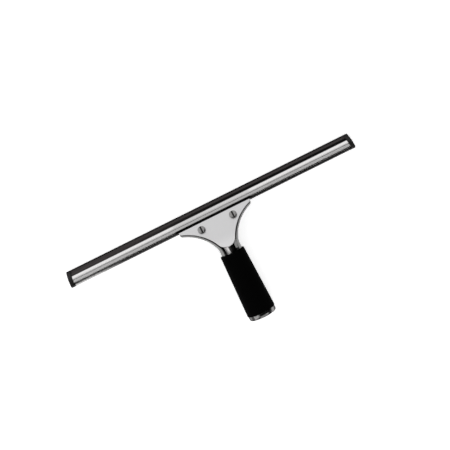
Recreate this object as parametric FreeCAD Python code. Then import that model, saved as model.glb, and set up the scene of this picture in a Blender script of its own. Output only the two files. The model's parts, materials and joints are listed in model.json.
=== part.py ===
import FreeCAD, Part
import os
from math import atan2, cos, degrees, pi, radians, sin, sqrt, tan

from FreeCAD import Placement, Rotation, Vector

# Window squeegee with a fixed stainless handle, lying front up on a flat surface.
# All sizes are in millimetres.
#
# Three frames are used:
#   head   X along the blade, Y towards the wiping edge, Z out of the front of the clamp plate;
#          its origin is the middle of the channel's lower edge.
#   grip   X along the blade, Y up the handle's axis towards the head, Z out of the grip's front;
#          its origin is the middle of the sleeve's upper end.
#   part   X along the blade, Y towards the wiping edge, Z up; it stands on Z = 0.

# ---- blade -------------------------------------------------------------------------------
BLADE_LENGTH = 350.0          # rubber strip, flush with the outer faces of the end caps
CHANNEL_WALL = 0.7            # rolled strip thickness
CHANNEL_HEIGHT = 11.4         # lower edge of the foot bead to the top of the lips
CHANNEL_HALF_DEPTH = 4.1      # at the crease of the front and back walls
CREASE_HEIGHT = 6.9
CREASE_ROUNDING = 4.0
SHELF_NARROWING = 0.6         # body half depth lost from the crease down to the shelf
SHELF_ROUNDING = 0.45
MOUTH_NARROWING = 1.1         # and from the crease up to the lips
MOUTH_ROUNDING = 0.8
LINE_HEIGHT = 5.2             # line rolled into the front and back walls
LINE_DEPTH = 0.22
LINE_WIDTH = 1.0
FOOT_HALF_DEPTH = 1.55        # bead that the handle's jaws hold
FOOT_HEIGHT = 1.0
FOOT_ROUNDING = 0.45
WAIST_HALF_DEPTH = 0.85       # groove between the bead and the body
WAIST_HEIGHT = 1.3
WAIST_ROUNDING = 0.2
LIP_HALF_GAP = 1.4            # half of the slot between the rolled lips
RUBBER_HALF_BEAD = 2.4        # root of the rubber, held inside the channel
RUBBER_ROOT_HEIGHT = 5.1
RUBBER_ROOT_ROUNDING = 0.55
RUBBER_HALF_SHOULDER = 2.5
RUBBER_HALF_LIP = 1.3         # half the thickness of the wiping lip
RUBBER_SLOT_CLEARANCE = 0.25  # rubber to lips, shoulder to lips, rubber to end cap
RUBBER_STAND_OUT = 8.0        # wiping edge above the channel
SHOULDER_HEIGHT = 1.2
SHOULDER_ROUNDING = 0.35
LIP_LENGTH = 4.2
LIP_ROUNDING = 1.0            # where the shoulder runs into the lip

# ---- end caps ----------------------------------------------------------------------------
CAP_WIDTH = 4.7
CAP_WALL = 0.9
CAP_END_WALL = 1.2
CAP_DROP = 0.7                # cap below the foot bead
CAP_FOOT_HALF_DEPTH = 3.6
CAP_SETBACK = 1.6             # top of the cap below the wiping edge
CAP_TOP_HALF_DEPTH = 2.05     # thin enough to stay clear of the floor that the edge touches
CAP_ROUNDING = 0.6
CAP_CLEARANCE = 0.12
TONGUE_LENGTH = 8.0           # tongue of the cap inside the hollow of the channel
TONGUE_HEIGHT = 1.3
TONGUE_HALF_WIDTH = 2.2

# ---- clamp -------------------------------------------------------------------------------
SHEET = 1.0                   # sheet thickness of the cover plate and of the handle shell
CLAMP_HALF_SPAN = 43.4        # half the width of the jaws
JAW_HALF_GAP = 2.1            # mid-plane of the clamp to the inner face of each jaw
JAW_EDGE_CLEARANCE = 0.15     # jaw edges to the waist and to the bead of the channel
JAW_TOP_CLEARANCE = 0.2       # jaw edges to the shelf above the waist
JAW_EDGE_THICKNESS = 0.6      # of the folded-in edge at its tip
JAW_BEND_THICKNESS = 0.45     # of the coined sheet beside the bead
JAW_ROUNDING = 0.8
PLATE_TOP = -0.7              # height where the flat of each jaw ends and its edge folds in
WING_END_HEIGHT = 3.7         # height of the blunt end of each wing of the shell
WING_TIP_ROUNDING = 3.0
WING_RADIUS = 52.2            # concave sides of the handle shell
WING_NARROWEST = 9.6          # half width that the concave sides would come down to
COVER_SIDE_RADIUS = 57.2      # concave sides of the cover plate
COVER_SIDE_SHIFT = 0.7        # their centres outside those of the shell
COVER_SIDE_DROP = 4.0         # and below them
COVER_TIP_RADIUS = 10.8
COVER_EDGE_RADIUS = 0.3
RIM_CLEARANCE = 0.4           # shell rim to the underside of the cover plate
SHELL_BACK_RADIUS = 2.4       # bend between the back wall and the rim

# ---- screws and nuts ---------------------------------------------------------------------
SCREW_SPACING = 38.4
SCREW_DROP = 8.5              # screw axes below the top of the plate
SCREW_RADIUS = 2.45
SCREW_HEAD_RADIUS = 4.3
SCREW_HEAD_HEIGHT = 2.5
SCREW_HEAD_ROUNDING = 1.1
SCREW_END_CHAMFER = 0.5
SLOT_WIDTH = 1.2
SLOT_DEPTH = 1.3
SCREW_STAND_OUT = 1.0         # screw end beyond the nut
SCREW_HOLE_RADIUS = 2.8
THREAD_CLEARANCE = 0.05
NUT_ACROSS_FLATS = 8.0
NUT_HEIGHT = 4.0
NUT_CHAMFER = 0.5

# ---- neck and handle ---------------------------------------------------------------------
BEND_ANGLE = 29.0             # grip axis to the plane of the clamp
GRIP_TOP_Y = -43.4            # middle of the sleeve's upper end, in the head frame
GRIP_TOP_Z = -8.5
BEND_TANGENT = 9.0            # length of each tangent of the shell's bend
NECK_RADIUS = 12.0            # outside of the trough that runs into the sleeve
NECK_OPEN_HALF = 8.6          # half the width of the trough's open front
TROUGH_IN_SLEEVE = 18.0
TROUGH_FLAT = 0.02            # half width of the flat left at the back of the round trough
NOSE_RADIUS = 6.3             # closed nose of the socket tube, seen in the neck
NOSE_OFFSET = 1.0             # nose axis in front of the grip axis
NOSE_LENGTH = 9.5
NOSE_DEPTH = 2.0              # where the nose starts to widen, below the sleeve's upper end
NOSE_ROUNDING = 2.2
TUBE_TOP_RADIUS = 10.7
TUBE_TOP_DEPTH = 14.0         # where the round tube starts, below the sleeve's upper end
TUBE_WALL = 1.2
TAPER = 0.0325                # growth of the radius per millimetre of handle
SLEEVE_LENGTH = 72.3
SLEEVE_TOP_RADIUS = 14.05
SLEEVE_TOP_ROUNDING = 1.2
SLEEVE_END_ROUNDING = 0.6
SLEEVE_CLEARANCE = 0.05
RING_LENGTH = 5.3
RING_RADIUS = 15.9
RING_TOP_RADIUS = 15.7
RING_END_RADIUS = 15.3
RING_BORE_RADIUS = 9.6
RING_TOP_ROUNDING = 0.5
RING_BULGE_ROUNDING = 3.0
RING_END_ROUNDING = 0.9
RING_BORE_ROUNDING = 0.4
RING_LIP = 1.5                # thickness of the ring's end wall, over the tube and liner
LINER_CLEARANCE = 0.05
LINER_LENGTH = 57.0
LINER_FLOOR = 3.0
LINER_ROUNDING = 0.4
SOCKET_RADIUS = 9.0           # bore for the tip of an extension pole
SOCKET_CHAMFER = 0.5

# ---- modelling ---------------------------------------------------------------------------
NECK_STATIONS = 6             # sections of the shell between the tray and the sleeve
EXTRA = 5.0                   # overrun of cutting tools
CAVITY_RISE = 0.6             # overrun of the shell's hollow above its open front
SEAM = 0.02                   # overrun of the neck's cavity past its lower end
SAME_PLACE = 0.0001           # points nearer than this are one

# ---- derived sizes -----------------------------------------------------------------------
SHELF_HEIGHT = FOOT_HEIGHT + WAIST_HEIGHT
TIP_HEIGHT = CHANNEL_HEIGHT + RUBBER_STAND_OUT
SLEEVE_END_RADIUS = SLEEVE_TOP_RADIUS + TAPER * SLEEVE_LENGTH
TUBE_END_DEPTH = SLEEVE_LENGTH + RING_LENGTH - RING_LIP
BACK = JAW_HALF_GAP + SHEET
# Centres of the concave sides on the right; the shell's side ends at the blunt tip of its wing.
WING_RISE = sqrt(WING_RADIUS ** 2 - (WING_NARROWEST + WING_RADIUS - CLAMP_HALF_SPAN) ** 2)
WING_CENTRE = Vector(WING_NARROWEST + WING_RADIUS, PLATE_TOP - WING_END_HEIGHT - WING_RISE, 0)
COVER_CENTRE = WING_CENTRE + Vector(COVER_SIDE_SHIFT, -COVER_SIDE_DROP, 0)
RIM_HEIGHT = JAW_HALF_GAP - RIM_CLEARANCE
# The grip axis crosses the head's mid-plane here; the shell bends from one to the other, and the
# stations are places along it, measured as heights in the head frame until the bend starts.
AXIS_CROSSING_Y = GRIP_TOP_Y - GRIP_TOP_Z / tan(radians(BEND_ANGLE))
BEND_START = AXIS_CROSSING_Y + BEND_TANGENT
BEND_RADIUS = BEND_TANGENT / tan(radians(BEND_ANGLE) / 2)
BEND_LENGTH = BEND_RADIUS * radians(BEND_ANGLE)
SLEEVE_TOP_STATION = BEND_START - BEND_LENGTH + BEND_TANGENT + GRIP_TOP_Z / sin(radians(BEND_ANGLE))
# Rim of the round trough above the grip axis, and how far its side swells beyond a straight line.
TROUGH_RIM_HEIGHT = sqrt(NECK_RADIUS ** 2 - NECK_OPEN_HALF ** 2)
TROUGH_SIDE_BULGE = NECK_RADIUS - sqrt(NECK_RADIUS * (NECK_RADIUS + NECK_OPEN_HALF) / 2)


def lying_angle():
    """Slope of the head when the wiping edge and the sleeve's lower edge both touch the floor."""
    bend = radians(BEND_ANGLE)
    rise = (SLEEVE_LENGTH * sin(bend) + SLEEVE_END_RADIUS * cos(bend)
            - GRIP_TOP_Z - RUBBER_HALF_LIP)
    run = (SLEEVE_LENGTH * cos(bend) - SLEEVE_END_RADIUS * sin(bend)
           + TIP_HEIGHT - GRIP_TOP_Y)
    return degrees(atan2(rise, run))


HEAD_TURN = Placement(Vector(0, 0, 0), Rotation(Vector(1, 0, 0), -lying_angle()))
GRIP_IN_HEAD = Placement(Vector(0, GRIP_TOP_Y, GRIP_TOP_Z), Rotation(Vector(1, 0, 0), BEND_ANGLE))


# ---- outlines ----------------------------------------------------------------------------
def rounded_wire(corners, radii):
    """Closed wire through the corners, each rounded to its radius."""
    count = len(corners)
    starts = []
    ends = []
    arcs = []
    for index, corner in enumerate(corners):
        to_last = (corners[index - 1] - corner).normalize()
        to_next = (corners[(index + 1) % count] - corner).normalize()
        if radii[index] == 0:
            starts.append(corner)
            ends.append(corner)
            arcs.append(None)
            continue
        half = to_last.getAngle(to_next) / 2
        reach = radii[index] / tan(half)
        inward = (to_last + to_next).normalize()
        middle = corner + inward * (radii[index] / sin(half) - radii[index])
        starts.append(corner + to_last * reach)
        ends.append(corner + to_next * reach)
        arcs.append(Part.Arc(starts[-1], middle, ends[-1]).toShape())
    edges = []
    for index in range(count):
        if arcs[index]:
            edges.append(arcs[index])
        following = starts[(index + 1) % count]
        if (following - ends[index]).Length > SAME_PLACE:
            edges.append(Part.LineSegment(ends[index], following).toShape())
    return Part.Wire(edges)


def offset_profile(profile, distance):
    """Corners (y, z, radius) of an anticlockwise profile, moved outwards by a distance."""
    moved = []
    count = len(profile)
    for index, (y, z, radius) in enumerate(profile):
        corner = Vector(y, z, 0)
        last = Vector(profile[index - 1][0], profile[index - 1][1], 0)
        following = Vector(profile[(index + 1) % count][0], profile[(index + 1) % count][1], 0)
        run_in = (corner - last).normalize()
        run_out = (following - corner).normalize()
        normal_in = Vector(run_in.y, -run_in.x, 0)
        normal_out = Vector(run_out.y, -run_out.x, 0)
        turn = run_in.x * run_out.y - run_in.y * run_out.x
        place = corner + (normal_in + normal_out) * (distance / (1 + normal_in.dot(normal_out)))
        grown = radius + distance if turn > 0 else radius - distance
        moved.append((place.x, place.y, max(grown, 0) if radius else 0))
    return moved


def mirrored_profile(half):
    """Whole profile from its front half, listed from the foot up; it runs anticlockwise in Y, Z."""
    back = [(y, -z, radius) for y, z, radius in half if z > 0]
    return back + list(reversed(half))


def profile_wire(profile, x=0.0):
    corners = [Vector(x, y, z) for y, z, radius in profile]
    return rounded_wire(corners, [radius for y, z, radius in profile])


def extrude_along_blade(profile, start, length):
    return Part.Face(profile_wire(profile, start)).extrude(Vector(length, 0, 0))


def box_between(low, high):
    size = high - low
    return Part.makeBox(size.x, size.y, size.z, low)


def arcs_at(shape, z):
    """Circular edges of a shape that lie at a height z."""
    return [edge for edge in shape.Edges
            if isinstance(edge.Curve, Part.Circle)
            and abs(edge.BoundBox.ZMin - z) + abs(edge.BoundBox.ZMax - z) < SAME_PLACE]


def turn_about_y(outline):
    """Solid turned about the Y axis from (radius, y, corner radius) points."""
    corners = [Vector(radius, y, 0) for radius, y, rounding in outline]
    face = Part.Face(rounded_wire(corners, [rounding for radius, y, rounding in outline]))
    return face.revolve(Vector(0, 0, 0), Vector(0, 1, 0), 360)


# ---- blade assembly ----------------------------------------------------------------------
def body_corners():
    """Front half of the channel's body: creased wall from the shelf to the rolled lip."""
    return [
        (SHELF_HEIGHT, CHANNEL_HALF_DEPTH - SHELF_NARROWING, SHELF_ROUNDING),
        (CREASE_HEIGHT, CHANNEL_HALF_DEPTH, CREASE_ROUNDING),
        (CHANNEL_HEIGHT, CHANNEL_HALF_DEPTH - MOUTH_NARROWING, MOUTH_ROUNDING),
    ]


def channel_profile():
    """Outside of the rolled channel: folded foot bead, waist, and the hollow body above."""
    foot = [
        (0.0, FOOT_HALF_DEPTH, FOOT_ROUNDING),
        (FOOT_HEIGHT, FOOT_HALF_DEPTH, FOOT_ROUNDING),
        (FOOT_HEIGHT, WAIST_HALF_DEPTH, WAIST_ROUNDING),
        (SHELF_HEIGHT, WAIST_HALF_DEPTH, WAIST_ROUNDING),
    ]
    return mirrored_profile(foot + body_corners())


def rolled_line_profile():
    """Cutter, in section, for the line rolled into the front wall."""
    low = LINE_HEIGHT - LINE_WIDTH / 2
    high = LINE_HEIGHT + LINE_WIDTH / 2
    return [
        (LINE_HEIGHT, wall_depth(LINE_HEIGHT) - LINE_DEPTH, LINE_WIDTH / 4),
        (high, wall_depth(high), 0.0),
        (LINE_HEIGHT, CHANNEL_HALF_DEPTH + EXTRA, 0.0),
        (low, wall_depth(low), 0.0),
    ]


def wall_depth(height):
    """Half depth of the channel's body on its wall below the crease."""
    rise = (height - SHELF_HEIGHT) / (CREASE_HEIGHT - SHELF_HEIGHT)
    return CHANNEL_HALF_DEPTH - SHELF_NARROWING * (1 - rise)


def cap_profile():
    """Outside of an end cap, from under the foot bead to just below the wiping edge."""
    mouth_half = CHANNEL_HALF_DEPTH - MOUTH_NARROWING + CAP_WALL
    half = [
        (-CAP_DROP, CAP_FOOT_HALF_DEPTH, CAP_ROUNDING),
        (CREASE_HEIGHT, CHANNEL_HALF_DEPTH + CAP_WALL, CREASE_ROUNDING),
        (CHANNEL_HEIGHT, mouth_half, MOUTH_ROUNDING),
        (TIP_HEIGHT - CAP_SETBACK, CAP_TOP_HALF_DEPTH, CAP_ROUNDING),
    ]
    return mirrored_profile(half)


def rubber_profile(clearance=0.0):
    root_top = CHANNEL_HEIGHT - CHANNEL_WALL - RUBBER_SLOT_CLEARANCE
    neck = LIP_HALF_GAP - RUBBER_SLOT_CLEARANCE
    shoulder = CHANNEL_HEIGHT + RUBBER_SLOT_CLEARANCE
    half = [
        (RUBBER_ROOT_HEIGHT, RUBBER_HALF_BEAD, RUBBER_ROOT_ROUNDING),
        (root_top, RUBBER_HALF_BEAD, RUBBER_ROOT_ROUNDING),
        (root_top, neck, 0.0),
        (shoulder, neck, 0.0),
        (shoulder, RUBBER_HALF_SHOULDER, SHOULDER_ROUNDING),
        (shoulder + SHOULDER_HEIGHT, RUBBER_HALF_SHOULDER, SHOULDER_ROUNDING),
        (TIP_HEIGHT - LIP_LENGTH, RUBBER_HALF_LIP, LIP_ROUNDING),
        (TIP_HEIGHT, RUBBER_HALF_LIP, 0.0),
    ]
    profile = mirrored_profile(half)
    if clearance:
        profile = offset_profile(profile, clearance)
    return profile


def make_channel():
    length = BLADE_LENGTH - 2 * CAP_END_WALL
    outside = extrude_along_blade(channel_profile(), -length / 2, length)
    inner_profile = offset_profile(mirrored_profile(body_corners()), -CHANNEL_WALL)
    inside = extrude_along_blade(inner_profile, -length / 2 - EXTRA, length + 2 * EXTRA)
    mouth = box_between(Vector(-length, CHANNEL_HEIGHT - 2 * CHANNEL_WALL, -LIP_HALF_GAP),
                        Vector(length, CHANNEL_HEIGHT + EXTRA, LIP_HALF_GAP))
    front_line = extrude_along_blade(rolled_line_profile(), -length, 2 * length)
    back_line = front_line.mirror(Vector(0, 0, 0), Vector(0, 0, 1))
    return outside.cut(inside).cut(mouth).cut(front_line).cut(back_line)


def make_rubber():
    return extrude_along_blade(rubber_profile(), -BLADE_LENGTH / 2, BLADE_LENGTH)


def make_end_cap(side):
    """Cap over one end of the channel, with a tongue in its hollow; side is -1 or 1."""
    outer_x = BLADE_LENGTH / 2
    inner_x = outer_x - CAP_WIDTH
    wall_x = outer_x - CAP_END_WALL
    shell = extrude_along_blade(cap_profile(), inner_x, CAP_WIDTH)
    pocket_profile = offset_profile(channel_profile(), CAP_CLEARANCE)
    pocket = extrude_along_blade(pocket_profile, inner_x - EXTRA, wall_x - inner_x + EXTRA)
    slot_profile = rubber_profile(RUBBER_SLOT_CLEARANCE)
    slot = extrude_along_blade(slot_profile, inner_x - EXTRA, CAP_WIDTH + 2 * EXTRA)
    tongue_y = SHELF_HEIGHT + CHANNEL_WALL + CAP_CLEARANCE
    tongue = box_between(Vector(wall_x - TONGUE_LENGTH, tongue_y, -TONGUE_HALF_WIDTH),
                         Vector(wall_x, tongue_y + TONGUE_HEIGHT, TONGUE_HALF_WIDTH))
    cap = shell.cut(pocket).cut(slot).fuse(tongue)
    if side < 0:
        cap = cap.mirror(Vector(0, 0, 0), Vector(1, 0, 0))
    return cap


# ---- clamp assembly ----------------------------------------------------------------------
def wing_edge_x(y, inset=0.0):
    """Half width of the shell, or of its inside at an inset, at a height on the concave side."""
    return WING_CENTRE.x - sqrt((WING_RADIUS + inset) ** 2 - (y - WING_CENTRE.y) ** 2)


def wing_sides(centre, radius, wing_x, top, lower):
    """Edges down the right wing's blunt end and along its concave side to the point lower."""
    end = Vector(wing_x, centre.y + sqrt(radius ** 2 - (centre.x - wing_x) ** 2), 0)
    middle = centre + ((end + lower) / 2 - centre).normalize() * radius
    return [Part.LineSegment(Vector(wing_x, top, 0), end).toShape(),
            Part.Arc(end, middle, lower).toShape()]


def winged_block(right, closing, low_z, high_z, rounding):
    """Block from the right wing's edges, their mirror images and the edges that close them."""
    left = [edge.mirror(Vector(0, 0, 0), Vector(1, 0, 0)) for edge in right]
    wire = Part.Wire(Part.__sortEdges__(right + left + closing))
    wire.translate(Vector(0, 0, low_z))
    block = Part.Face(wire).extrude(Vector(0, 0, high_z - low_z))
    tip = right[0].lastVertex().Point
    tips = [edge for edge in block.Edges
            if abs(abs(edge.CenterOfMass.x) - tip.x) + abs(edge.CenterOfMass.y - tip.y) < SAME_PLACE]
    return block.makeFillet(rounding, tips)


def cover_block():
    """Cover plate: straight top, blunt wings, concave sides and a round lower tip."""
    reach = COVER_SIDE_RADIUS + COVER_TIP_RADIUS
    tip_centre = Vector(0, COVER_CENTRE.y + sqrt(reach ** 2 - COVER_CENTRE.x ** 2), 0)
    tangent = tip_centre + (COVER_CENTRE - tip_centre).normalize() * COVER_TIP_RADIUS
    right = wing_sides(COVER_CENTRE, COVER_SIDE_RADIUS, CLAMP_HALF_SPAN, PLATE_TOP, tangent)
    tip = Part.Arc(tangent, tip_centre - Vector(0, COVER_TIP_RADIUS, 0),
                   Vector(-tangent.x, tangent.y, 0)).toShape()
    top = across(CLAMP_HALF_SPAN, PLATE_TOP)
    return winged_block(right, [tip, top], JAW_HALF_GAP, BACK, WING_TIP_ROUNDING)


def across(half, y):
    return Part.LineSegment(Vector(-half, y, 0), Vector(half, y, 0)).toShape()


def jaw_edge():
    """Folded-in edge of a jaw, which hooks over the channel's foot bead."""
    tip_z = WAIST_HALF_DEPTH + JAW_EDGE_CLEARANCE
    under_y = FOOT_HEIGHT + JAW_EDGE_CLEARANCE
    over_y = SHELF_HEIGHT - JAW_TOP_CLEARANCE
    outer_tip_z = tip_z + JAW_EDGE_THICKNESS
    slope = (BACK - outer_tip_z) / (over_y - PLATE_TOP)
    beside_bead_z = BACK - slope * (under_y - PLATE_TOP) - JAW_BEND_THICKNESS
    profile = [
        (PLATE_TOP - SHEET, JAW_HALF_GAP, 0.0),
        (PLATE_TOP - SHEET, BACK, 0.0),
        (PLATE_TOP, BACK, JAW_ROUNDING),
        (over_y, outer_tip_z, 0.0),
        (over_y, tip_z, 0.0),
        (under_y, tip_z, 0.0),
        (under_y, beside_bead_z, 0.0),
        (PLATE_TOP, JAW_HALF_GAP, 0.0),
    ]
    return extrude_along_blade(profile, -CLAMP_HALF_SPAN, 2 * CLAMP_HALF_SPAN)


def screw_places():
    y = PLATE_TOP - SCREW_DROP
    return [Vector(-SCREW_SPACING / 2, y, 0), Vector(SCREW_SPACING / 2, y, 0)]


def screw_hole(place):
    start = Vector(place.x, place.y, -BACK - EXTRA)
    return Part.makeCylinder(SCREW_HOLE_RADIUS, 2 * (BACK + EXTRA), start)


def make_cover_plate():
    plate = cover_block()
    plate = plate.makeFillet(COVER_EDGE_RADIUS, arcs_at(plate, BACK))
    cover = plate.fuse(jaw_edge()).removeSplitter()
    for place in screw_places():
        cover = cover.cut(screw_hole(place))
    return cover


def make_screw(place):
    """Slotted pan-head screw from the cover plate through the nut."""
    end = BACK + NUT_HEIGHT + SCREW_STAND_OUT
    top = BACK + SCREW_HEAD_HEIGHT
    screw = turn_about_y([
        (0, -end, 0),
        (SCREW_RADIUS - SCREW_END_CHAMFER, -end, 0),
        (SCREW_RADIUS, -end + SCREW_END_CHAMFER, 0),
        (SCREW_RADIUS, BACK, 0),
        (SCREW_HEAD_RADIUS, BACK, 0),
        (SCREW_HEAD_RADIUS, top, SCREW_HEAD_ROUNDING),
        (0, top, 0),
    ])
    screw.rotate(Vector(0, 0, 0), Vector(1, 0, 0), 90)
    slot = box_between(Vector(-SLOT_WIDTH / 2, -SCREW_HEAD_RADIUS - EXTRA, top - SLOT_DEPTH),
                       Vector(SLOT_WIDTH / 2, SCREW_HEAD_RADIUS + EXTRA, top + EXTRA))
    screw = screw.cut(slot)
    screw.translate(place)
    return screw


def make_nut(place):
    """Hexagon weld nut on the back of the shell, chamfered on its outer face."""
    corner_radius = NUT_ACROSS_FLATS / 2 / cos(pi / 6)
    low = Vector(place.x, place.y, -BACK - NUT_HEIGHT)
    corners = [low + Vector(corner_radius * cos(pi / 3 * k), corner_radius * sin(pi / 3 * k), 0)
               for k in range(6)]
    prism = Part.Face(Part.makePolygon(corners + corners[:1])).extrude(Vector(0, 0, NUT_HEIGHT))
    cone = Part.makeCone(corner_radius - NUT_CHAMFER, corner_radius + NUT_HEIGHT,
                         NUT_HEIGHT + NUT_CHAMFER, low)
    bore = Part.makeCylinder(SCREW_RADIUS + THREAD_CLEARANCE, NUT_HEIGHT + 2 * EXTRA,
                             low - Vector(0, 0, EXTRA))
    return prism.common(cone).cut(bore)


# ---- handle shell ------------------------------------------------------------------------
def shell_path(s):
    """Middle of the neck's section at a place s along it, and the turn of the section.

    The path runs round the bend from the head's mid-plane, then down the grip axis.
    """
    bend = radians(BEND_ANGLE)
    along = BEND_START - s
    if along < BEND_LENGTH:
        turn = along / BEND_RADIUS
        return Vector(0, BEND_START - BEND_RADIUS * sin(turn), -BEND_RADIUS * (1 - cos(turn))), turn
    bend_end = Vector(0, BEND_START - BEND_RADIUS * sin(bend), -BEND_RADIUS * (1 - cos(bend)))
    return bend_end - Vector(0, cos(bend), sin(bend)) * (along - BEND_LENGTH), bend


def blend(low, high, part):
    smooth = part * part * (3 - 2 * part)
    return low + (high - low) * smooth


def shell_section(s, inset, front_extra):
    """Closed section of the neck at s: open-fronted tray that deepens into a round trough."""
    part = (BEND_START - s) / (BEND_START - SLEEVE_TOP_STATION)
    half = max(wing_edge_x(s, inset), NECK_RADIUS - inset)
    back = blend(BACK, NECK_RADIUS, part) - inset
    front = blend(RIM_HEIGHT, TROUGH_RIM_HEIGHT, part) + front_extra
    front_half = half - blend(0, NECK_RADIUS - NECK_OPEN_HALF, part)
    corner = blend(SHELL_BACK_RADIUS, NECK_RADIUS - TROUGH_FLAT, part) - inset
    bulge = blend(0, TROUGH_SIDE_BULGE, part)
    origin, turn = shell_path(s)
    upward = Vector(0, -sin(turn), cos(turn))

    def place(x, height):
        return origin + Vector(x, 0, 0) + upward * height

    side = Vector(half - front_half, 0, corner - back - front).normalize()
    outward = Vector(-side.z, 0, side.x)
    side_middle_x = (front_half + half) / 2 + bulge * outward.x
    side_middle_height = (front + corner - back) / 2 + bulge * outward.z
    knee = corner * (1 - sin(pi / 4))
    right = [
        Part.Arc(place(front_half, front), place(side_middle_x, side_middle_height),
                 place(half, corner - back)),
        Part.Arc(place(half, corner - back), place(half - knee, knee - back),
                 place(half - corner, -back)),
    ]
    left = [
        Part.Arc(place(corner - half, -back), place(knee - half, knee - back),
                 place(-half, corner - back)),
        Part.Arc(place(-half, corner - back), place(-side_middle_x, side_middle_height),
                 place(-front_half, front)),
    ]
    bottom = Part.LineSegment(place(half - corner, -back), place(corner - half, -back))
    top = Part.LineSegment(place(-front_half, front), place(front_half, front))
    return Part.Wire([curve.toShape() for curve in right + [bottom] + left + [top]])


def neck_form(tray, inset, front_extra, overrun):
    """Solid form of the neck: lofted from the tray's end to the round trough, then straight."""
    step = (SLEEVE_TOP_STATION - BEND_START) / NECK_STATIONS
    tray_end = min(tray.Faces, key=lambda face: face.BoundBox.YMax)
    sections = [shell_section(BEND_START + step * (k + 1), inset, front_extra)
                for k in range(NECK_STATIONS)]
    neck = Part.makeLoft([tray_end.OuterWire] + sections, True, False)
    bend = radians(BEND_ANGLE)
    down_axis = Vector(0, -cos(bend), -sin(bend)) * (TROUGH_IN_SLEEVE + overrun)
    return neck.fuse(Part.Face(sections[-1]).extrude(down_axis))


def tray_block(inset, low_z, high_z, top):
    """Block that fills the tray under the wings down to the bend, or its hollow at an inset."""
    half = wing_edge_x(BEND_START, inset)
    right = wing_sides(WING_CENTRE, WING_RADIUS + inset, CLAMP_HALF_SPAN - inset, top,
                       Vector(half, BEND_START, 0))
    closing = [across(CLAMP_HALF_SPAN - inset, top), across(half, BEND_START)]
    return winged_block(right, closing, low_z, high_z, WING_TIP_ROUNDING - inset)


def make_rear_shell():
    """Pressed shell: rear jaw, shallow tray behind the cover plate, and the trough of the neck."""
    top = PLATE_TOP - SHEET
    outer_tray = tray_block(0, -BACK, RIM_HEIGHT, top)
    outer_tray = outer_tray.makeFillet(SHELL_BACK_RADIUS, arcs_at(outer_tray, -BACK))
    hollow = tray_block(SHEET, -JAW_HALF_GAP, RIM_HEIGHT + CAVITY_RISE, top + EXTRA)
    hollow = hollow.makeFillet(SHELL_BACK_RADIUS - SHEET, arcs_at(hollow, -JAW_HALF_GAP))
    neck = neck_form(outer_tray, 0, 0, 0).cut(neck_form(hollow, SHEET, CAVITY_RISE, SEAM))
    rear_jaw = jaw_edge().mirror(Vector(0, 0, 0), Vector(0, 0, 1))
    shell = outer_tray.cut(hollow).fuse(neck).fuse(rear_jaw)
    for place in screw_places():
        shell = shell.cut(screw_hole(place))
    return shell


# ---- handle ------------------------------------------------------------------------------
def tube_radius(depth):
    """Outside radius of the socket tube at a depth below the sleeve's upper end."""
    return TUBE_TOP_RADIUS + TAPER * (depth - TUBE_TOP_DEPTH)


def circle_wire(radius, y, z=0.0):
    return Part.Wire(Part.makeCircle(radius, Vector(0, y, z), Vector(0, 1, 0)))


def tube_form(inset):
    """Outside of the socket tube, or its hollow at an inset of one wall."""
    nose = turn_about_y([
        (0, -NOSE_DEPTH, 0),
        (NOSE_RADIUS - inset, -NOSE_DEPTH, 0),
        (NOSE_RADIUS - inset, NOSE_LENGTH - inset, NOSE_ROUNDING),
        (0, NOSE_LENGTH - inset, 0),
    ])
    nose.translate(Vector(0, 0, NOSE_OFFSET))
    shoulder = Part.makeLoft([circle_wire(NOSE_RADIUS - inset, -NOSE_DEPTH, NOSE_OFFSET),
                              circle_wire(TUBE_TOP_RADIUS - inset, -TUBE_TOP_DEPTH)], True, True)
    cone = Part.makeCone(TUBE_TOP_RADIUS - inset, tube_radius(TUBE_END_DEPTH) - inset,
                         TUBE_END_DEPTH - TUBE_TOP_DEPTH,
                         Vector(0, -TUBE_TOP_DEPTH, 0), Vector(0, -1, 0))
    return nose.fuse(shoulder).fuse(cone)


def make_socket_tube():
    """Tapered tube with its upper end drawn down to a closed round nose."""
    return tube_form(0).cut(tube_form(TUBE_WALL))


def make_socket_liner():
    """Plastic liner that centres a pole in the tube."""
    def inner_radius(depth):
        return tube_radius(depth) - TUBE_WALL - LINER_CLEARANCE

    top = TUBE_END_DEPTH - LINER_LENGTH
    bore_top = top + LINER_FLOOR
    return turn_about_y([
        (0, -top, 0),
        (inner_radius(top), -top, LINER_ROUNDING),
        (inner_radius(TUBE_END_DEPTH), -TUBE_END_DEPTH, 0),
        (SOCKET_RADIUS + SOCKET_CHAMFER, -TUBE_END_DEPTH, 0),
        (SOCKET_RADIUS, -TUBE_END_DEPTH + SOCKET_CHAMFER, 0),
        (SOCKET_RADIUS, -bore_top, 0),
        (0, -bore_top, 0),
    ])


def make_grip_sleeve():
    """Tapered rubber sleeve over the tube and the end of the trough."""
    trough_radius = NECK_RADIUS + SLEEVE_CLEARANCE
    step = TROUGH_IN_SLEEVE + SLEEVE_CLEARANCE
    return turn_about_y([
        (trough_radius, 0, 0),
        (SLEEVE_TOP_RADIUS, 0, SLEEVE_TOP_ROUNDING),
        (SLEEVE_END_RADIUS, -SLEEVE_LENGTH, SLEEVE_END_ROUNDING),
        (tube_radius(SLEEVE_LENGTH) + SLEEVE_CLEARANCE, -SLEEVE_LENGTH, 0),
        (tube_radius(step) + SLEEVE_CLEARANCE, -step, 0),
        (trough_radius, -step, 0),
    ])


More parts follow.
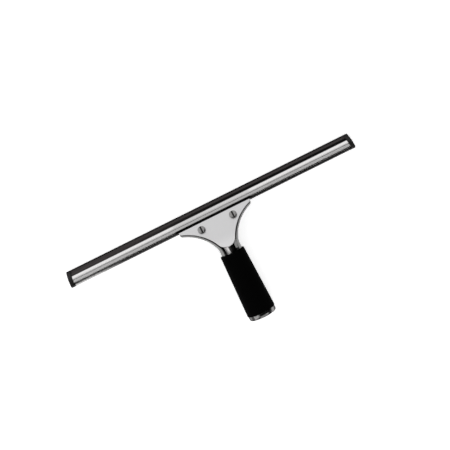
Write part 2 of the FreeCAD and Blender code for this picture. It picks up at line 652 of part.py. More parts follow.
def make_end_ring():
    """Bright rolled ring that closes the lower end of the handle round the pole socket."""
    end = SLEEVE_LENGTH + RING_LENGTH
    fit_top = tube_radius(SLEEVE_LENGTH) + SLEEVE_CLEARANCE
    fit_end = tube_radius(TUBE_END_DEPTH) + SLEEVE_CLEARANCE
    return turn_about_y([
        (fit_top, -SLEEVE_LENGTH, 0),
        (RING_TOP_RADIUS, -SLEEVE_LENGTH, RING_TOP_ROUNDING),
        (RING_RADIUS, -SLEEVE_LENGTH - RING_LENGTH / 2, RING_BULGE_ROUNDING),
        (RING_END_RADIUS, -end, RING_END_ROUNDING),
        (RING_BORE_RADIUS, -end, RING_BORE_ROUNDING),
        (RING_BORE_RADIUS, -TUBE_END_DEPTH, 0),
        (fit_end, -TUBE_END_DEPTH, 0),
    ])


# ---- assembly ----------------------------------------------------------------------------
def in_head(shape):
    placed = shape.copy()
    placed.transformShape(HEAD_TURN.toMatrix(), True)
    return placed


def in_grip(shape):
    placed = shape.copy()
    placed.transformShape((HEAD_TURN * GRIP_IN_HEAD).toMatrix(), True)
    return placed


def floor_shift(nodes):
    """Move that puts the part on Z = 0 with its box centred over the origin."""
    blade = nodes["rubber_blade"].optimalBoundingBox(False)
    ring = nodes["end_ring"].optimalBoundingBox(False)
    return Vector(0, -(blade.YMax + ring.YMin) / 2, -blade.ZMin)


def build():
    left_screw, right_screw = screw_places()
    nodes = {
        "channel": in_head(make_channel()),
        "rubber_blade": in_head(make_rubber()),
        "end_cap_left": in_head(make_end_cap(-1)),
        "end_cap_right": in_head(make_end_cap(1)),
        "cover_plate": in_head(make_cover_plate()),
        "rear_shell": in_head(make_rear_shell()),
        "clamp_screw_left": in_head(make_screw(left_screw)),
        "clamp_screw_right": in_head(make_screw(right_screw)),
        "clamp_nut_left": in_head(make_nut(left_screw)),
        "clamp_nut_right": in_head(make_nut(right_screw)),
        "socket_tube": in_grip(make_socket_tube()),
        "socket_liner": in_grip(make_socket_liner()),
        "grip_sleeve": in_grip(make_grip_sleeve()),
        "end_ring": in_grip(make_end_ring()),
    }
    shift = floor_shift(nodes)
    for shape in nodes.values():
        shape.translate(shift)
    return nodes


os.makedirs("parts", exist_ok=True)
for name, solid in build().items():
    solid.exportStep("parts/" + name + ".step")
    print(name, solid.isValid(), len(solid.Solids), round(solid.Volume, 1))
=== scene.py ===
import json
from math import atan, cos, pi, radians, sin

import bpy
from mathutils import Matrix, Vector


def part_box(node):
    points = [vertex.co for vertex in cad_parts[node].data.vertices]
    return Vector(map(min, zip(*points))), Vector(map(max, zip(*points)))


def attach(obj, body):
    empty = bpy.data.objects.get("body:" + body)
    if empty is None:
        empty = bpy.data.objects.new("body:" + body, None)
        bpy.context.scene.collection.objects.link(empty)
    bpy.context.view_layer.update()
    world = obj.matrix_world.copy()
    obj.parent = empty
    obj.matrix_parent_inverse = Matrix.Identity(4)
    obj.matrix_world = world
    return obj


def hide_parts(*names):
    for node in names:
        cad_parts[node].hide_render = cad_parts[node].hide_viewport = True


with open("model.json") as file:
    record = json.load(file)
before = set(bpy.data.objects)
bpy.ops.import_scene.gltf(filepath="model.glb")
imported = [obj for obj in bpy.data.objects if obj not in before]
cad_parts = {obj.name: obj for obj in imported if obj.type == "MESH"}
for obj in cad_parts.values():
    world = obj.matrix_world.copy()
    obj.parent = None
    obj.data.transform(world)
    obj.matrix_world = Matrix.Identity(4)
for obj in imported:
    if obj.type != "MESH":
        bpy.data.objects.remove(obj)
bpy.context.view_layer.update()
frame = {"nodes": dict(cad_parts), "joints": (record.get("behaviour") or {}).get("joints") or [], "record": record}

MM = 0.001                              # lengths are in metres, except where millimetres are named
TO_MM = 1 / MM
NODES = frame["nodes"]
JOINTS = {joint["name"]: joint for joint in frame["joints"]}
MOUNTS = {mount["name"]: mount for mount in frame["record"]["mounts"]}
CLAMP_NORMAL = Vector(JOINTS["cover_lift"]["axis"])         # out of the front of the clamp plate
BLADE_UP = Vector((0, CLAMP_NORMAL.z, -CLAMP_NORMAL.y))     # up the blade, towards the wiping edge
HEAD_TILT = atan(CLAMP_NORMAL.y / CLAMP_NORMAL.z)
WIPING_EDGE = Vector(MOUNTS["wiping_edge"]["pos_m"])        # its middle
SOCKET_MIDDLE = Vector(MOUNTS["pole_socket"]["pos_m"])      # a point on the handle's axis
GRIP_AXIS = Vector(MOUNTS["pole_socket"]["axis"])           # down the handle
GRIP_TILT = atan(GRIP_AXIS.z / GRIP_AXIS.y)
TO_LEFT = Vector((-1, 0, 0))
SCREW_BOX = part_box("clamp_screw_right")
SCREW_ASIDE = (SCREW_BOX[0][0] + SCREW_BOX[1][0]) / 2       # screw axes beside the middle
SCREW_SEAT = Vector(JOINTS["screw_left_turn"]["pos_m"])     # under a screw's head


# ---- shader maths ------------------------------------------------------------------------
class Amount:
    """A number that varies over a surface; arithmetic on it adds Math nodes."""

    def __init__(self, nodes, socket):
        self.nodes = nodes
        self.socket = socket

    def __add__(self, other):
        return self.nodes.maths("ADD", self, other)

    def __sub__(self, other):
        return self.nodes.maths("SUBTRACT", self, other)

    def __rsub__(self, other):
        return self.nodes.maths("SUBTRACT", other, self)

    def __mul__(self, other):
        return self.nodes.maths("MULTIPLY", self, other)

    def __abs__(self):
        return self.nodes.maths("ABSOLUTE", self)

    __radd__ = __add__
    __rmul__ = __mul__


class Nodes:
    """A node tree, and the ways of adding to it."""

    def __init__(self, tree):
        self.tree = tree

    def node(self, kind, settings=None, inputs=None, output=0):
        """Adds a node, sets it up, feeds its inputs, and gives back one of its outputs."""
        made = self.tree.nodes.new(kind)
        for name, value in (settings or {}).items():
            setattr(made, name, value)
        for name, value in (inputs or {}).items():
            self.feed(made.inputs[name], value)
        return Amount(self, made.outputs[output])

    def feed(self, socket, value):
        """Links an amount to a socket, or sets its number, vector or colour."""
        if isinstance(value, Amount):
            self.tree.links.new(value.socket, socket)
        elif socket.type == "RGBA":
            socket.default_value = (*value, 1)
        else:
            socket.default_value = value

    def maths(self, operation, *values):
        return self.node("ShaderNodeMath", {"operation": operation}, dict(enumerate(values)))

    def vectors(self, operation, *values, output=0):
        return self.node("ShaderNodeVectorMath", {"operation": operation},
                         dict(enumerate(values)), output)

    def step(self, value, low, high, start=0.0, end=1.0):
        """From start, at low and before it, to end, at high and past it, smooth between."""
        return self.node("ShaderNodeMapRange", {"interpolation_type": "SMOOTHSTEP"},
                         {"Value": value, "From Min": low, "From Max": high,
                          "To Min": start, "To Max": end})

    def mix(self, share, low, high):
        """The colour low where the share is 0, and high where it is 1."""
        return self.node("ShaderNodeMix", {"data_type": "RGBA"}, {0: share, 6: low, 7: high}, 2)


class Finish(Nodes):
    """A surface material: where a point of it is, and patterns over it."""

    def __init__(self, name):
        self.material = bpy.data.materials.new(name)
        self.material.use_nodes = True
        super().__init__(self.material.node_tree)
        self.shader = self.tree.nodes["Principled BSDF"]

    def here(self):
        """Object coordinates, in metres."""
        return self.node("ShaderNodeTexCoord", output="Object")

    def offset(self, start):
        """The way from a start point to here."""
        return self.vectors("SUBTRACT", self.here(), start)

    def along(self, direction, start):
        """Millimetres from a start point in a direction."""
        return self.vectors("DOT_PRODUCT", self.offset(start), direction, output="Value") * TO_MM

    def below_edge(self):
        """Millimetres below the wiping edge, down the blade and the clamp."""
        return self.along(-BLADE_UP, WIPING_EDGE)

    def leftward(self):
        """Millimetres left of the middle."""
        return self.along(TO_LEFT, WIPING_EDGE)

    def from_grip_axis(self):
        """Millimetres out from the handle's axis."""
        sweep = self.vectors("CROSS_PRODUCT", self.offset(SOCKET_MIDDLE), GRIP_AXIS)
        return self.vectors("LENGTH", sweep, output="Value") * TO_MM

    def noise(self, scale=1.0, detail=2.0, roughness=0.5, stretch=(1, 1, 1), turn=(0, 0, 0)):
        """Cloudy pattern, its scale in cells to the metre, multiplied along each axis."""
        at = self.node("ShaderNodeMapping", {"vector_type": "POINT"},
                       {"Vector": self.here(), "Rotation": turn, "Scale": stretch})
        return self.node("ShaderNodeTexNoise", {"noise_dimensions": "3D"},
                         {"Vector": at, "Scale": scale, "Detail": detail, "Roughness": roughness})

    def cloud(self, cells):
        """Soft uneven patches, so many cells to the metre."""
        return self.noise(scale=cells, detail=4.0, roughness=0.6)

    def grain(self, *cells):
        """Crisp grain, with so many cells to the metre along each axis."""
        return self.noise(detail=3.0, roughness=0.6, stretch=cells)

    def turned_lines(self):
        """Fine lines round the handle's axis."""
        return self.noise(stretch=(60, 2400, 60), turn=(-GRIP_TILT, 0, 0))

    def bump(self, height, depth, strength, normal=None):
        inputs = {"Height": height, "Distance": depth, "Strength": strength}
        if normal is not None:
            inputs["Normal"] = normal
        return self.node("ShaderNodeBump", inputs=inputs)

    def paint(self, **channels):
        """Feeds the surface shader; names are its sockets with underscores for spaces."""
        for name, value in channels.items():
            self.feed(self.shader.inputs[name.replace("_", " ")], value)
        return self.material


def wear(node_name, material):
    """Gives a CAD node its finish."""
    for slot in NODES[node_name].material_slots:
        slot.material = material


# ---- steel -------------------------------------------------------------------------------
# Where a finish changes, from one place to the other, in millimetres. Places on the channel,
# the plate, the shell and the rubber are below the wiping edge unless a comment says otherwise.
CHANNEL_LIP_SHADE = (8.5, 9.3)                # painted shade on the lip round the rubber, then the bright front
# the lower front, rougher and darker with painted shade
CHANNEL_DULLS_AND_SHADES = (12.2, 13.4)
CHANNEL_FOOT_SHADE = (17.3, 17.8)             # painted shade on the folded foot
FOOT_SHADE_RISES = 0.75                       # how much higher the foot's painted shade begins in the jaws
JAW_ENDS = (50, 44)                     # beside the middle; between them the front and the foot carry painted shade
FOOT_LIT_LEFTWARD = (105, 150)             # left of the middle; the foot paler towards the left, painted light
FOOT_SHADE_DEEPENS = (-25, -70)              # left of the middle, so these are on the right; the foot blacker there, painted shade
PLATE_SLOPE_SHADE = (19.7, 20.2)              # painted shade on the slope that folds in over the channel's foot
# the plate paler towards its lower end, a painted highlight
PLATE_HIGHLIGHT = (44, 60)
NECK_BEGINS = (58, 59.5)
NECK_HOLLOW = (11.4, 11.2)              # out from the handle's axis
RING_SIDES_SHADE = (11, 17)                 # beside the middle; painted shade on the ring's sides
RING_DARK_REFLECTION = ((9.8, 11.0), (13.8, 12.6))    # its two sides, left of the middle; a painted dark reflection down the ring's left
TUBE_LIT_FLANK = (1.2, 2.8)               # left of the middle; a painted highlight, pale and matte
TUBE_SHADED_FLANK = (-1.0, 2.0)            # right of the middle; painted shade, near black
SLOT_SHADE_SIDE = (1.05, 0.85)          # beside a screw's axis; painted shade, black in the slot
SLOT_SHADE_BEGINS = (0.9, 1.1)          # above a screw's seat, just short of the slot's floor

# Where a patch of a pattern begins and is whole, in the pattern's own strength.
SMUDGED = (0.5, 0.75)
PLATING_BRIGHT = (0.42, 0.6)
PLATING_ROUGH = (0.4, 0.6)


def grey(value):
    """A steel's grey, a shade warm."""
    return (value, value * 0.985, value * 0.98)


def mottle(grain, cloud):
    """Fine grain and soft patches together."""
    return grain * 0.4 + cloud * 0.6


def rolled_steel():
    """Bright stainless strip with rolling lines along it, rougher below; painted shade darkens its lip, its lower
    front, its front in the jaws and its foot, which is paler towards the left as painted light.
    """
    made = Finish("rolled_steel")
    below = made.below_edge()
    leftward = made.leftward()
    lines = made.grain(6, 2600, 2600)
    waves = made.noise(stretch=(9, 60, 60))
    smudges = made.noise(scale=90.0, detail=4.0, roughness=0.65, turn=(HEAD_TILT, 0, 0))
    rolled = lines * 0.5 + waves * 0.5
    in_jaws = made.step(abs(leftward), *JAW_ENDS)
    lower = made.step(below + waves * 0.3, *CHANNEL_DULLS_AND_SHADES)

    bright = made.mix(rolled, grey(0.56), grey(0.66))
    # painted shade: the front darker between the jaws, where the handle shades it
    shaded_in_jaws = made.mix(waves, grey(0.45), grey(0.53))
    # painted shade: the lower front darker
    shaded_lower = made.mix(rolled, grey(0.36), grey(0.44))
    front = made.mix(lower, made.mix(in_jaws, bright, shaded_in_jaws), shaded_lower)
    # painted shade: the foot dark, paler towards the left as painted light and blacker on the right
    foot = made.mix(made.step(leftward, *FOOT_LIT_LEFTWARD), grey(0.035), grey(0.45))
    foot = made.mix(made.step(leftward, *FOOT_SHADE_DEEPENS), foot, grey(0.012))
    # painted shade: the lip round the rubber darkened
    colour = made.mix(made.step(below, *CHANNEL_LIP_SHADE), grey(0.05), front)
    # painted shade: the dark foot, beginning higher in the jaws
    colour = made.mix(made.step(below + in_jaws * FOOT_SHADE_RISES, *CHANNEL_FOOT_SHADE), colour, foot)
    rough = 0.16 + lines * 0.1 + made.step(smudges, *SMUDGED) * 0.1 + lower * 0.06
    wavy = made.bump(waves, depth=0.12 * MM, strength=0.6)
    return made.paint(Base_Color=colour, Metallic=1.0, Roughness=rough,
                      Normal=made.bump(lines, depth=0.02 * MM, strength=0.5, normal=wavy))


def satin_plate_steel():
    """Satin sheet, with painted shade on the slope that folds in over the channel's foot and a painted highlight
    towards its lower end.
    """
    made = Finish("satin_plate_steel")
    below = made.below_edge()
    grain = made.grain(40, 2200, 2200)
    cloud = made.cloud(45.0)
    satin = made.mix(mottle(grain, cloud), (0.54, 0.54, 0.545), (0.62, 0.615, 0.62))
    # painted highlight: paler towards the plate's lower end
    satin = made.mix(made.step(below, *PLATE_HIGHLIGHT) * 0.5, satin, (0.72, 0.715, 0.72))
    # painted shade: the slope that folds in over the foot
    colour = made.mix(made.step(below, *PLATE_SLOPE_SHADE), grey(0.03), satin)
    return made.paint(Base_Color=colour, Metallic=1.0,
                      Roughness=0.3 + grain * 0.1 + cloud * 0.08,
                      Normal=made.bump(grain, depth=0.012 * MM, strength=0.5))


def pressed_steel():
    """Darker pressed sheet of the rear shell; the hollow of its neck is pale, matte and rough, painted light so
    that the lamps light it.
    """
    made = Finish("pressed_steel")
    in_neck = (made.step(made.below_edge(), *NECK_BEGINS)
               * made.step(made.from_grip_axis(), *NECK_HOLLOW))
    grain = made.grain(900, 900, 900)
    cloud = made.cloud(60.0)
    pressed = made.mix(mottle(grain, cloud), (0.19, 0.19, 0.188), (0.26, 0.26, 0.257))
    # painted light: the neck's hollow pale and matte so the lamps light it
    colour = made.mix(in_neck, pressed, (0.55, 0.55, 0.545))
    return made.paint(Base_Color=colour, Metallic=1.0 - in_neck * 0.8,
                      Roughness=0.3 + grain * 0.1 + cloud * 0.1 + in_neck * 0.2,
                      Normal=made.bump(grain, depth=0.01 * MM, strength=0.5))


def lip_steel():
    """The rear shell's sheet where the neck's edge is turned in."""
    made = Finish("lip_steel")
    grain = made.grain(900, 900, 900)
    cloud = made.cloud(90.0)
    colour = made.mix(mottle(grain, cloud), (0.33, 0.33, 0.327), (0.43, 0.43, 0.427))
    return made.paint(Base_Color=colour, Metallic=0.6,
                      Roughness=0.4 + grain * 0.1 + cloud * 0.1,
                      Normal=made.bump(grain, depth=0.01 * MM, strength=0.5))


def ring_chrome():
    """Bright ring, its plating patchy and tarnished; painted shade darkens its sides and a painted dark reflection
    runs down its left.
    """
    made = Finish("ring_chrome")
    leftward = made.leftward()
    lines = made.turned_lines()
    patches = made.noise(scale=110.0, detail=3.0, roughness=0.55, stretch=(1, 2, 1))
    dark_reflection = made.step(leftward, *RING_DARK_REFLECTION[0]) * made.step(leftward, *RING_DARK_REFLECTION[1])
    colour = made.mix(made.step(patches, *PLATING_BRIGHT), grey(0.07), grey(0.3))
    # painted shade: the ring's sides darker
    colour = made.mix(made.step(abs(leftward), *RING_SIDES_SHADE) * 0.7, colour, grey(0.06))
    # painted reflection: a dark band down the ring's left
    colour = made.mix(dark_reflection * 0.85, colour, grey(0.02))
    return made.paint(Base_Color=colour, Metallic=1.0, Specular_Tint=grey(0.35),
                      Roughness=0.16 + lines * 0.05 + made.step(patches, *PLATING_ROUGH) * 0.08,
                      Normal=made.bump(lines, depth=0.006 * MM, strength=0.4))


def tube_steel():
    """Polished tube, its nose pale and matte down its left flank as a painted highlight, and near black down its
    right as painted shade.
    """
    made = Finish("tube_steel")
    leftward = made.leftward()
    lines = made.turned_lines()
    cloud = made.cloud(150.0)
    lit_flank = made.step(leftward, *TUBE_LIT_FLANK)
    shaded_flank = made.mix(cloud, grey(0.04), grey(0.08))
    # painted highlight: the left flank pale and matte so the left lamp lights it
    colour = made.mix(lit_flank, made.mix(cloud, grey(0.5), grey(0.6)), grey(0.95))
    # painted shade: the right flank near black
    colour = made.mix(made.step(0 - leftward, *TUBE_SHADED_FLANK), colour, shaded_flank)
    return made.paint(Base_Color=colour, Metallic=1.0 - lit_flank * 0.85,
                      Roughness=0.12 + lines * 0.05 + cloud * 0.06 + lit_flank * 0.25,
                      Normal=made.bump(lines, depth=0.006 * MM, strength=0.4))


def nut_steel():
    """Darker steel of the weld nuts, a little uneven."""
    made = Finish("nut_steel")
    cloud = made.cloud(300.0)
    return made.paint(Base_Color=made.mix(cloud, grey(0.3), grey(0.42)), Metallic=1.0,
                      Roughness=0.3 + cloud * 0.15,
                      Normal=made.bump(cloud, depth=0.02 * MM, strength=0.5))


def screw_steel():
    """Worn steel, with painted shade black in the slot of each head."""
    made = Finish("screw_steel")
    cloud = made.noise(scale=500.0, detail=3.0, roughness=0.6)
    beside_axis = abs(abs(made.leftward()) - SCREW_ASIDE * TO_MM)
    above_seat = made.along(CLAMP_NORMAL, SCREW_SEAT)
    # painted shade: black in the slot
    slot_shade = (made.step(beside_axis, *SLOT_SHADE_SIDE)
             * made.step(above_seat, *SLOT_SHADE_BEGINS))
    colour = made.mix(slot_shade, made.mix(cloud, grey(0.2), grey(0.3)), grey(0.02))
    return made.paint(Base_Color=colour, Metallic=1.0, Roughness=0.24 + cloud * 0.12,
                      Normal=made.bump(cloud, depth=0.01 * MM, strength=0.4))


# ---- rubber and plastic ------------------------------------------------------------------
LIP_HIGHLIGHT = (1.0, 2.6)               # the rubber's black edge, then its paler stripe, a painted highlight
RUBBER_SHOULDER = (4.0, 5.0)
SHOULDER_LIT_LEFTWARD = (0, 190)               # left of the middle; the shoulder's painted light, paler towards the left
DUST_STRAYS = 40                        # how far the dust pattern shifts where the shoulder's painted light begins
DUSTY = (0.45, 0.8)                     # in the dust's own strength


def blade_rubber():
    """Black rubber: a paler stripe along the lip as a painted highlight, with dust patches, and a near-black
    shoulder of painted shade that is paler towards the left as painted light.
    """
    made = Finish("blade_rubber")
    below = made.below_edge()
    lines = made.grain(8, 3000, 3000)
    dust = made.noise(detail=5.0, roughness=0.65, stretch=(60, 200, 200))
    lit_leftward = made.step(made.leftward() + dust * DUST_STRAYS, *SHOULDER_LIT_LEFTWARD)
    # painted highlight: a paler stripe along the lip, then dust patches on it
    lip_highlight_and_dust = made.mix(made.step(below, *LIP_HIGHLIGHT), (0.01, 0.009, 0.009), (0.052, 0.046, 0.046))
    lip_highlight_and_dust = made.mix(made.step(dust, *DUSTY) * 0.25, lip_highlight_and_dust, (0.05, 0.044, 0.044))
    # painted shade on the shoulder, near black, giving way to painted light towards the left
    shoulder = made.mix(lit_leftward, (0.003, 0.0027, 0.0027), (0.055, 0.048, 0.048))
    colour = made.mix(made.step(below, *RUBBER_SHOULDER), lip_highlight_and_dust, shoulder)
    return made.paint(Base_Color=colour, Specular_IOR_Level=0.02,
                      Roughness=0.45 + lines * 0.12 + dust * 0.08,
                      Normal=made.bump(lines, depth=0.015 * MM, strength=0.5))


def cap_plastic():
    """Black moulded plastic, finely pitted."""
    made = Finish("cap_plastic")
    pits = made.noise(scale=2500.0)
    cloud = made.noise(scale=200.0, detail=3.0)
    return made.paint(Base_Color=made.mix(cloud, (0.006, 0.005, 0.005), (0.011, 0.01, 0.01)),
                      Specular_IOR_Level=0.15, Roughness=0.45 + cloud * 0.12,
                      Normal=made.bump(pits, depth=0.02 * MM, strength=0.5))


def grip_rubber():
    """Deep black rubber with a close pebbled skin."""
    made = Finish("grip_rubber")
    pebbles = made.node("ShaderNodeTexVoronoi", {"feature": "F1"},
                        {"Vector": made.here(), "Scale": 1400.0}, "Distance")
    cloud = made.cloud(120.0)
    return made.paint(Base_Color=made.mix(cloud, (0.0005,) * 3, (0.001,) * 3),
                      Specular_IOR_Level=0.02, Roughness=0.78 + cloud * 0.14,
                      Normal=made.bump(pebbles, depth=0.12 * MM, strength=0.6))


def liner_plastic():
    """Dark grey moulded plastic inside the tube."""
    made = Finish("liner_plastic")
    cloud = made.noise(scale=260.0, detail=3.0)
    return made.paint(Base_Color=made.mix(cloud, (0.03, 0.03, 0.03), (0.045, 0.045, 0.046)),
                      Roughness=0.45 + cloud * 0.1,
                      Normal=made.bump(made.noise(scale=1800.0), depth=0.02 * MM, strength=0.4))


def finish_cad_nodes(screw):
    """Gives every CAD node its finish; the screws' is handed in, because the new screws share it."""
    caps = cap_plastic()
    nut = nut_steel()
    for node_name, material in (
            ("channel", rolled_steel()),
            ("cover_plate", satin_plate_steel()),
            ("rear_shell", pressed_steel()),
            ("rubber_blade", blade_rubber()),
            ("grip_sleeve", grip_rubber()),
            ("socket_liner", liner_plastic()),
            ("socket_tube", tube_steel()),
            ("end_ring", ring_chrome())):
        wear(node_name, material)
    for side in ("left", "right"):
        wear("end_cap_" + side, caps)
        wear("clamp_screw_" + side, screw)
        wear("clamp_nut_" + side, nut)


# ---- modelling ---------------------------------------------------------------------------
SMOOTH_UNDER = radians(35)              # sharper edges than this stay sharp
SAME_PLACE = 0.001 * MM                 # corners this close together are merged
ON_THE_CUT = 0.0001 * MM                # corners this close to a cut are taken to be on it


def deselect_everything():
    bpy.ops.object.select_all(action="DESELECT")


def pick(made):
    """Selects one object alone and makes it active."""
    deselect_everything()
    made.select_set(True)
    bpy.context.view_layer.objects.active = made


def open_mesh():
    """Puts the active object in edit mode with everything selected."""
    bpy.ops.object.mode_set(mode="EDIT")
    bpy.ops.mesh.select_mode(type="VERT")
    bpy.ops.mesh.select_all(action="SELECT")


def close_mesh():
    """Turns every face outwards and leaves edit mode."""
    bpy.ops.mesh.select_all(action="SELECT")
    bpy.ops.mesh.normals_make_consistent(inside=False)
    bpy.ops.object.mode_set(mode="OBJECT")


def start_piece(name):
    """Names the primitive just added and opens its mesh."""
    made = bpy.context.object
    made.name = name
    open_mesh()
    return made


def copy_piece(original):
    """A copy at the origin with its own mesh, free of its parent and its properties."""
    made = original.copy()
    made.data = original.data.copy()
    for key in list(made.keys()):
        del made[key]
    made.parent = None
    made.matrix_world = Matrix()
    bpy.context.scene.collection.objects.link(made)
    return made


def select_edges(made, wanted):
    """Selects the edges whose two ends both pass the test, in edit mode."""
    bpy.ops.mesh.select_mode(type="EDGE")
    bpy.ops.mesh.select_all(action="DESELECT")
    bpy.ops.object.mode_set(mode="OBJECT")
    corners = made.data.vertices
    for edge in made.data.edges:
        edge.select = all(wanted(corners[end].co) for end in edge.vertices)
    bpy.ops.object.mode_set(mode="EDIT")


def extrude(move):
    """Extrudes what is selected, in edit mode."""
    bpy.ops.mesh.extrude_region_move(TRANSFORM_OT_translate={"value": move})


def cut_away(point, outward):
    """Removes what lies beyond a plane, in edit mode, and fills the cut."""
    bpy.ops.mesh.select_all(action="SELECT")
    bpy.ops.mesh.bisect(plane_co=point, plane_no=outward, use_fill=True, clear_outer=True,
                        threshold=ON_THE_CUT)


def apply_modifier(made, kind, **settings):
    """Adds a modifier to a piece, sets it up and applies it."""
    bpy.context.view_layer.objects.active = made
    modifier = made.modifiers.new(kind.lower(), kind)
    for name, value in settings.items():
        setattr(modifier, name, value)
    bpy.ops.object.modifier_apply(modifier=modifier.name)


# ---- clamp screws ------------------------------------------------------------------------
HEAD_RADIUS = 4.3 * MM
HEAD_HEIGHT = 2.5 * MM
HEAD_ROUNDING = 1.1 * MM
HEAD_SIDES = 72
HEAD_ROUNDING_STEPS = 7
SLOT_WIDTH = 1.8 * MM
SLOT_DEPTH = 1.3 * MM
CUTTER_LENGTH = HEAD_RADIUS * 3         # past both sides of the head
SHANK_LENGTH = 11.2 * MM
SHANK_SUNK = 0.3 * MM                   # how far the thread runs up into the head
THREAD_CREST = 2.45 * MM
THREAD_ROOT = 2.0 * MM
THREAD_PITCH = 0.8 * MM
THREAD_PROFILE = (                      # out by shares of the crest's rise, up by shares of the pitch
    (0, 0.12), (1, 0.34), (0, 0.12), (-1, 0.34), (0, 0.08))
THREAD_STEPS = 32                       # in one turn
THREAD_START = 1.55                     # turns below the shank's end; that much is cut off again
SPARE_TURNS = 3                         # for what is cut off at both ends
THREAD_TURNS = int((SHANK_LENGTH + SHANK_SUNK) / THREAD_PITCH) + SPARE_TURNS


def screw_head():
    """Pan head on the origin, slotted along Y."""
    deselect_everything()
    bpy.ops.mesh.primitive_cylinder_add(vertices=HEAD_SIDES, radius=HEAD_RADIUS, depth=HEAD_HEIGHT,
                                        location=(0, 0, HEAD_HEIGHT / 2))
    head = start_piece("screw_head")
    select_edges(head, lambda at: at.z > 0)
    bpy.ops.mesh.bevel(offset=HEAD_ROUNDING, segments=HEAD_ROUNDING_STEPS)
    bpy.ops.object.mode_set(mode="OBJECT")
    bpy.ops.object.transform_apply(location=True, rotation=False, scale=False)

    deselect_everything()
    bpy.ops.mesh.primitive_cube_add(size=1, location=(0, 0, HEAD_HEIGHT),
                                    scale=(SLOT_WIDTH, CUTTER_LENGTH, SLOT_DEPTH * 2))
    cutter = bpy.context.object
    apply_modifier(head, "BOOLEAN", operation="DIFFERENCE", solver="EXACT", object=cutter)
    bpy.data.objects.remove(cutter)
    return head


def screw_thread():
    """Shank with a true helical thread, hanging below the origin."""
    deselect_everything()
    bpy.ops.mesh.primitive_plane_add(
        size=MM, location=(THREAD_ROOT, 0, -SHANK_LENGTH - THREAD_PITCH * THREAD_START))
    thread = start_piece("screw_thread")
    bpy.ops.mesh.merge(type="CENTER")
    for outward, upward in THREAD_PROFILE:
        extrude((outward * (THREAD_CREST - THREAD_ROOT), 0, upward * THREAD_PITCH))
    bpy.ops.object.mode_set(mode="OBJECT")
    bpy.ops.object.transform_apply(location=True, rotation=False, scale=False)
    apply_modifier(thread, "SCREW", axis="Z", angle=2 * pi, screw_offset=THREAD_PITCH,
                   iterations=THREAD_TURNS, steps=THREAD_STEPS, render_steps=THREAD_STEPS)

    open_mesh()
    bpy.ops.mesh.remove_doubles(threshold=SAME_PLACE)
    cut_away((0, 0, SHANK_SUNK), (0, 0, 1))
    cut_away((0, 0, -SHANK_LENGTH), (0, 0, -1))
    close_mesh()
    return thread


def add_clamp_screws(finish):
    """Two slotted screws with real threads, one modelled and one copied."""
    head = screw_head()
    thread = screw_thread()
    pick(head)
    thread.select_set(True)
    bpy.ops.object.join()
    bpy.ops.object.shade_smooth_by_angle(angle=SMOOTH_UNDER)
    head.data.materials.append(finish)
    for side, screw in (("left", head), ("right", copy_piece(head))):
        screw.name = "slotted_screw_" + side
        pick(screw)
        screw.rotation_euler = (-HEAD_TILT, 0, 0)
        screw.location = JOINTS[f"screw_{side}_turn"]["pos_m"]
        bpy.ops.object.transform_apply(location=True, rotation=True, scale=False)
        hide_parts("clamp_screw_" + side)
        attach(screw, "screw_" + side)


# ---- end caps ----------------------------------------------------------------------------
CAP_BELOW_FOOT = 0.1 * MM               # what is left of a cap below the channel's foot


def add_end_caps():
    """The end caps in the finish they have, their lower side cut level with the channel's foot."""
    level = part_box("channel")[0][1] - CAP_BELOW_FOOT
    for side in ("left", "right"):
        cap = copy_piece(NODES["end_cap_" + side])
        cap.name = "trimmed_cap_" + side
        pick(cap)
        open_mesh()
        bpy.ops.mesh.remove_doubles(threshold=SAME_PLACE)
        cut_away((0, level, 0), (0, -1, 0))
        close_mesh()
        bpy.ops.object.shade_smooth_by_angle(angle=SMOOTH_UNDER)
        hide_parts("end_cap_" + side)
        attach(cap, "cap_" + side)


# ---- neck lip ----------------------------------------------------------------------------
LIP_INNER = 5.8                         # millimetres from the middle to its inner edge
LIP_STATIONS = (    # millimetres below the wiping edge, from the middle to its outer edge, in front
    (56, 10.4, 1.7),
    (58, 9.7, 1.4),
    (60, 9.0, 1.0),
    (62, 8.7, 0.5),
    (64.5, 8.55, -0.35),
)
LIP_STRIPS = 4                          # faces across it
LIP_THICKNESS = 0.7 * MM
LIP_ROUNDING = 0.15 * MM
LIP_ROUNDING_STEPS = 2


def head_point(aside, below, ahead):
    """A point in millimetres right of the middle, below the wiping edge and out in front."""
    return WIPING_EDGE + (Vector((aside, 0, 0)) - BLADE_UP * below + CLAMP_NORMAL * ahead) * MM


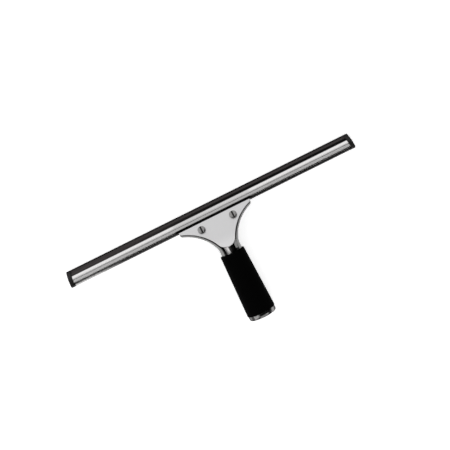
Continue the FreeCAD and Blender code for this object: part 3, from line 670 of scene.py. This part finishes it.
def add_neck_lip():
    """Edge of the rear shell's neck turned in beside the tube, from under the plate to the grip."""
    below, outer, ahead = LIP_STATIONS[0]
    deselect_everything()
    bpy.ops.mesh.primitive_plane_add(size=MM, location=head_point(LIP_INNER, below, ahead))
    lip = start_piece("neck_lip")
    bpy.ops.mesh.merge(type="CENTER")
    for _ in range(LIP_STRIPS):
        extrude(((outer - LIP_INNER) / LIP_STRIPS * MM, 0, 0))
    bpy.ops.mesh.select_all(action="SELECT")
    for next_below, next_outer, next_ahead in LIP_STATIONS[1:]:
        extrude(head_point(0, next_below, next_ahead) - head_point(0, below, ahead))
        squeeze = (next_outer - LIP_INNER) / (outer - LIP_INNER)
        bpy.ops.transform.resize(value=(squeeze, 1, 1),
                                 center_override=head_point(LIP_INNER, next_below, next_ahead))
        below, outer, ahead = next_below, next_outer, next_ahead
    close_mesh()
    bpy.ops.object.transform_apply(location=True, rotation=False, scale=False)

    faces_front = sum(face.normal.z for face in lip.data.polygons) > 0
    apply_modifier(lip, "SOLIDIFY", thickness=LIP_THICKNESS, offset=-1 if faces_front else 1)
    apply_modifier(lip, "BEVEL", width=LIP_ROUNDING, segments=LIP_ROUNDING_STEPS,
                   limit_method="ANGLE")
    open_mesh()
    close_mesh()
    bpy.ops.object.shade_smooth_by_angle(angle=SMOOTH_UNDER)
    lip.data.materials.append(lip_steel())
    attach(lip, "handle")


# ---- studio ------------------------------------------------------------------------------
CAMERA_DISTANCE = 0.78                  # metres, as the rest are here
CAMERA_AIM = Vector((0.0067, 0.0382, 0))
CAMERA_LEAN = radians(-1.6)
CAMERA_ROLL = radians(-26.43)
VIEW_WIDTH = 0.5045
SENSOR = 36.0                           # the camera's, millimetres wide
FLOOR_SIZE = 40.0
FLOOR_GLOW = 0.58                       # the share of the paper's white that is its own
LIT_FLOOR = (1.0, 3.0)                  # how far out that share begins to grow, and is all
HORIZON = (0.06, 0.14)                  # heights between which the sky dims, straight up being 1
SKY_GLOW = 0.03
SOFTBOXES = (       # azimuth and elevation in degrees, distance, width, height, and glow
    ("softbox_back", 95, 30, 1.6, 3.0, 2.0, 1.1),
    ("softbox_left", 180, 34, 1.5, 2.4, 1.5, 1.15),
    ("softbox_front", -80, 48, 1.6, 1.8, 0.9, 2.6),
)


def add_camera():
    data = bpy.data.cameras.new("camera")
    data.sensor_width = SENSOR
    data.lens = SENSOR * CAMERA_DISTANCE / VIEW_WIDTH
    camera = bpy.data.objects.new("camera", data)
    back = Vector((sin(CAMERA_LEAN), 0, cos(CAMERA_LEAN)))
    turn = Matrix.Rotation(CAMERA_LEAN, 3, "Y") @ Matrix.Rotation(CAMERA_ROLL, 3, "Z")
    camera.location = CAMERA_AIM + back * CAMERA_DISTANCE
    camera.rotation_euler = turn.to_euler()
    bpy.context.scene.collection.objects.link(camera)
    bpy.context.scene.camera = camera


def add_softbox(name, azimuth, elevation, distance, width, height, glow):
    """Area lamp that faces the middle of the tool; azimuth 0 is +X, 90 is +Y; glow 1 is white."""
    data = bpy.data.lights.new(name, "AREA")
    data.shape = "RECTANGLE"
    data.size = width
    data.size_y = height
    data.energy = glow * pi * width * height
    lamp = bpy.data.objects.new(name, data)
    across, up = radians(azimuth), radians(elevation)
    toward = Vector((cos(up) * cos(across), cos(up) * sin(across), sin(up)))
    lamp.location = toward * distance
    lamp.rotation_euler = toward.to_track_quat("Z", "Y").to_euler()
    bpy.context.scene.collection.objects.link(lamp)


def floor_paper():
    """White paper; some of its white is its own, and all of it beyond the reach of the lamps."""
    made = Finish("floor_paper")
    colour = made.mix(made.noise(scale=400.0), (0.93, 0.93, 0.93), (0.95, 0.95, 0.95))
    made.paint(Base_Color=colour, Roughness=1.0, Specular_IOR_Level=0.0)
    seen = sum(made.node("ShaderNodeLightPath", output=kind)
               for kind in ("Is Camera Ray", "Is Glossy Ray", "Is Transmission Ray"))
    out = made.vectors("LENGTH", made.here(), output="Value")
    glow = made.step(out, *LIT_FLOOR, start=FLOOR_GLOW)
    glow = made.node("ShaderNodeEmission", inputs={"Strength": seen * glow})
    lit = Amount(made, made.shader.outputs[0])
    both = made.node("ShaderNodeAddShader", inputs={0: lit, 1: glow})
    made.feed(made.tree.nodes["Material Output"].inputs["Surface"], both)
    return made.material


def add_floor():
    deselect_everything()
    bpy.ops.mesh.primitive_plane_add(size=FLOOR_SIZE, location=(0, 0, 0))
    floor = bpy.context.object
    floor.name = "floor"
    floor.data.materials.append(floor_paper())


def add_world():
    """Dark overhead, and as pale as the paper towards the horizon."""
    world = bpy.data.worlds.new("studio")
    world.use_nodes = True
    sky = Nodes(world.node_tree)
    toward = sky.node("ShaderNodeTexCoord", output="Generated")
    height = sky.node("ShaderNodeSeparateXYZ", inputs={"Vector": toward}, output="Z")
    background = sky.tree.nodes["Background"]
    sky.feed(background.inputs["Color"], (1, 1, 1))
    sky.feed(background.inputs["Strength"], sky.step(height, *HORIZON, start=1.0, end=SKY_GLOW))
    bpy.context.scene.world = world


def add_studio():
    add_camera()
    add_floor()
    add_world()
    for softbox in SOFTBOXES:
        add_softbox(*softbox)
    bpy.context.scene.view_settings.view_transform = "Standard"


screw_finish = screw_steel()
finish_cad_nodes(screw_finish)
add_end_caps()
add_clamp_screws(screw_finish)
add_neck_lip()
add_studio()
